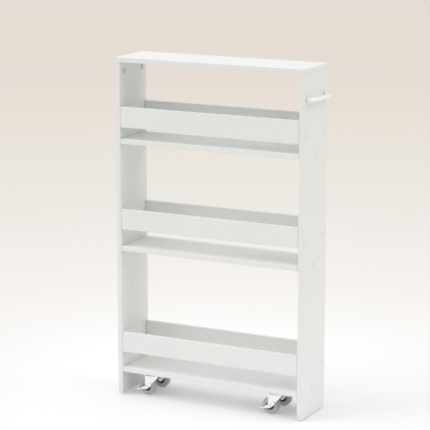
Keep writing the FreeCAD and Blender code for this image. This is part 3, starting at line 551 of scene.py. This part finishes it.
def makeRibTree():
    tree, given = newTree("ribTree", {
        "Count": "Int", "Inner": "Float", "Outer": "Float", "Width": "Float", "Depth": "Float",
        "Taper": "Float", "Middle": "Vector", "Half Width": "Float", "Finish": "Material"})
    long = maths(tree, "SUBTRACT", given["Outer"], given["Inner"])
    size = addNode(tree, "ShaderNodeCombineXYZ", X=given["Width"], Y=given["Depth"], Z=long)
    bar = addNode(tree, "GeometryNodeMeshCube", Size=size.outputs[0]).outputs["Mesh"]
    where = addNode(tree, "GeometryNodeInputPosition").outputs[0]
    outside = addNode(tree, "ShaderNodeSeparateXYZ", Vector=where).outputs["Y"]
    shrink = addNode(tree, "ShaderNodeCombineXYZ", {"Y": 1.0, "Z": 1.0}, X=given["Taper"])
    slim = addNode(tree, "ShaderNodeVectorMath", {"operation": "MULTIPLY"})
    tree.links.new(where, slim.inputs[0])
    tree.links.new(shrink.outputs[0], slim.inputs[1])
    bar = addNode(tree, "GeometryNodeSetPosition", Geometry=bar, Position=slim.outputs[0],
                  Selection=maths(tree, "LESS_THAN", outside, 0.0)).outputs[0]
    out = maths(tree, "MULTIPLY", maths(tree, "ADD", given["Inner"], given["Outer"]), 0.5)
    sideways = maths(tree, "MULTIPLY", given["Depth"], 0.5)
    sideways = maths(tree, "SUBTRACT", sideways, given["Half Width"])
    shift = addNode(tree, "ShaderNodeCombineXYZ", Y=sideways, Z=out)
    bar = addNode(tree, "GeometryNodeTransform", Geometry=bar, Translation=shift.outputs[0]).outputs[0]
    seats = addNode(tree, "GeometryNodePoints", Count=given["Count"]).outputs[0]
    number = addNode(tree, "GeometryNodeInputIndex").outputs[0]
    step = maths(tree, "DIVIDE", 2 * math.pi, given["Count"])
    spun = addNode(tree, "ShaderNodeCombineXYZ", Y=maths(tree, "MULTIPLY", number, step))
    near = addNode(tree, "GeometryNodeInstanceOnPoints", Points=seats, Instance=bar,
                   Rotation=spun.outputs[0]).outputs[0]
    far = addNode(tree, "GeometryNodeTransform", {"Rotation": (0, 0, math.pi)}, Geometry=near).outputs[0]
    placed = addNode(tree, "GeometryNodeTransform", Geometry=joined(tree, near, far),
                     Translation=given["Middle"]).outputs[0]
    closeTree(tree, placed, given["Finish"])
    return tree


def makeRidgeTree():
    tree, given = newTree("ridgeTree", {
        "Count": "Int", "Pitch": "Float", "Width": "Float", "Height": "Float", "Across": "Float",
        "Start": "Vector", "Slope": "Float", "Finish": "Material"})
    size = addNode(tree, "ShaderNodeCombineXYZ", X=given["Width"], Y=given["Across"], Z=given["Height"])
    bar = addNode(tree, "GeometryNodeMeshCube", Size=size.outputs[0]).outputs["Mesh"]
    row = addNode(tree, "ShaderNodeCombineXYZ", X=given["Pitch"])
    seats = addNode(tree, "GeometryNodeMeshLine", Count=given["Count"], Offset=row.outputs[0]).outputs[0]
    rows = addNode(tree, "GeometryNodeInstanceOnPoints", Points=seats, Instance=bar).outputs[0]
    lean = addNode(tree, "ShaderNodeCombineXYZ", Y=given["Slope"])
    placed = addNode(tree, "GeometryNodeTransform", Geometry=rows, Rotation=lean.outputs[0],
                     Translation=given["Start"]).outputs[0]
    closeTree(tree, placed, given["Finish"])
    return tree


ribTree = makeRibTree()
for caster in casterNames:
    low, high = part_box(f"{caster}_wheel_hub")
    rimLow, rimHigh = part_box(f"{caster}_wheel_tyre")
    growPiece(f"{caster}_hubRibs", pointMesh("ribStart", []), ribTree, {
        "Count": hubRibs["count"], "Inner": hubRibs["inner"], "Outer": hubRibs["outer"],
        "Width": hubRibs["width"], "Depth": hubRibs["depth"], "Taper": hubRibs["taper"],
        "Middle": (low + high) / 2, "Half Width": (rimHigh.y - rimLow.y) / 2 - hubRibs["setBack"],
        "Finish": finishes["hub_black"]}, f"{caster}_wheel")

ridgeTree = makeRidgeTree()
for caster in casterNames[:2]:
    low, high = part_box(f"{caster}_brake_pedal")
    axle = (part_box(f"{caster}_axle")[0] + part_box(f"{caster}_axle")[1]) / 2
    tabTip = Vector((low.x + gripRidges["fromTip"], axle.y, axle.z - gripRidges["tipBelowAxle"]))
    growPiece(f"{caster}_gripRidges", pointMesh("ridgeStart", []), ridgeTree, {
        "Count": gripRidges["count"], "Pitch": gripRidges["pitch"], "Width": gripRidges["width"],
        "Height": gripRidges["height"], "Across": (high.y - low.y) - 2 * gripRidges["margin"],
        "Start": tabTip, "Slope": -gripRidges["slope"], "Finish": finishes["caster_steel"]},
        f"{caster}_brake")

print("grown pieces done")

# ---- floor, light and camera

floor = {
    "radius": 40.0,
    "around": 96,
    "rough": 0.9,
    "gloss": 0.1,
    "glow": 0.19,
    "paintedPoolShades": [  # distance from the cart in metres, shade: paler near the cart as a painted pool of light, warmer and darker farther out
        (0.0, (0.71, 0.71, 0.71)), (0.45, (0.70, 0.70, 0.695)), (0.80, (0.635, 0.628, 0.615)),
        (1.21, (0.605, 0.572, 0.546)), (1.75, (0.572, 0.545, 0.526)), (2.41, (0.536, 0.516, 0.472)),
        (3.22, (0.522, 0.494, 0.440)), (4.24, (0.508, 0.462, 0.402)), (5.58, (0.494, 0.430, 0.383)),
        (9.65, (0.487, 0.424, 0.372))],
}


def makeFloor():
    mesh = bpy.data.meshes.new("floor")
    shape = bmesh.new()
    bmesh.ops.create_circle(shape, cap_ends=True, segments=floor["around"], radius=floor["radius"])
    shape.to_mesh(mesh)
    shape.free()
    ground = bpy.data.objects.new("floor", mesh)
    scene.collection.objects.link(ground)
    material, tree, shader = newMaterial("palePaper", {
        "Roughness": floor["rough"], "Specular IOR Level": floor["gloss"],
        "Emission Strength": floor["glow"]})
    place = addNode(tree, "ShaderNodeTexCoord").outputs["Object"]
    away = addNode(tree, "ShaderNodeVectorMath", {"operation": "LENGTH"})
    tree.links.new(place, away.inputs[0])
    furthest = floor["paintedPoolShades"][-1][0]
    # painted pool of light: the floor colour fades with distance from the cart
    ramp = addNode(tree, "ShaderNodeValToRGB", Fac=spread(tree, away.outputs["Value"], 0, 1, 0, furthest))
    stops = ramp.color_ramp.elements
    while len(stops) < len(floor["paintedPoolShades"]):
        stops.new(0.5)
    for stop, (distance, shade) in zip(stops, floor["paintedPoolShades"]):
        stop.position = distance / furthest
        stop.color = (*shade, 1)
    tree.links.new(ramp.outputs[0], shader.inputs["Base Color"])
    mesh.materials.append(material)


makeFloor()

light = {
    "sky": {"low": 0.66, "high": 0.95, "from": 0.52, "to": 0.68},  # from and to: sine of the height
    "leftSoftbox": {"power": 1.03, "spread": 50, "azimuth": -60, "elevation": 45},
    "rightSoftbox": {"power": 0.62, "spread": 50, "azimuth": 100, "elevation": 45},
}


def makeSky(look):  # an even ceiling of light over a dimmer room
    world = bpy.data.worlds.new("softRoom")
    scene.world = world
    world.use_nodes = True
    tree = world.node_tree
    way = addNode(tree, "ShaderNodeTexCoord").outputs["Generated"]
    height = addNode(tree, "ShaderNodeSeparateXYZ", Vector=way).outputs["Z"]
    strength = spread(tree, height, look["low"], look["high"], look["from"], look["to"])
    background = tree.nodes["Background"]
    background.inputs["Color"].default_value = (1, 1, 1, 1)
    tree.links.new(strength, background.inputs["Strength"])


def makeSun(name, look):
    lamp = bpy.data.lights.new(name, "SUN")
    lamp.energy = look["power"]
    lamp.angle = math.radians(look["spread"])
    sun = bpy.data.objects.new(name, lamp)
    turn, rise = math.radians(look["azimuth"]), math.radians(look["elevation"])
    towards = Vector((math.sin(turn) * math.cos(rise), -math.cos(turn) * math.cos(rise), math.sin(rise)))
    sun.rotation_euler = towards.to_track_quat("Z", "Y").to_euler()
    scene.collection.objects.link(sun)


makeSky(light["sky"])
for name in ("leftSoftbox", "rightSoftbox"):
    makeSun(name, light[name])
scene.view_settings.view_transform = "Standard"

camera = {
    "place": (1.96747, -3.8748, 1.3643), "turn": 27.192, "dip": 11.87, "lens": 159.9,
    "sensor": 36, "farthest": 200,
}
lensData = bpy.data.cameras.new("camera")
lensData.lens = camera["lens"]
lensData.sensor_width = camera["sensor"]
lensData.clip_end = camera["farthest"]
viewer = bpy.data.objects.new("camera", lensData)
viewer.location = camera["place"]
viewer.rotation_euler = (math.radians(90 - camera["dip"]), 0, math.radians(camera["turn"]))
scene.collection.objects.link(viewer)
scene.camera = viewer
print("floor, light and camera done")
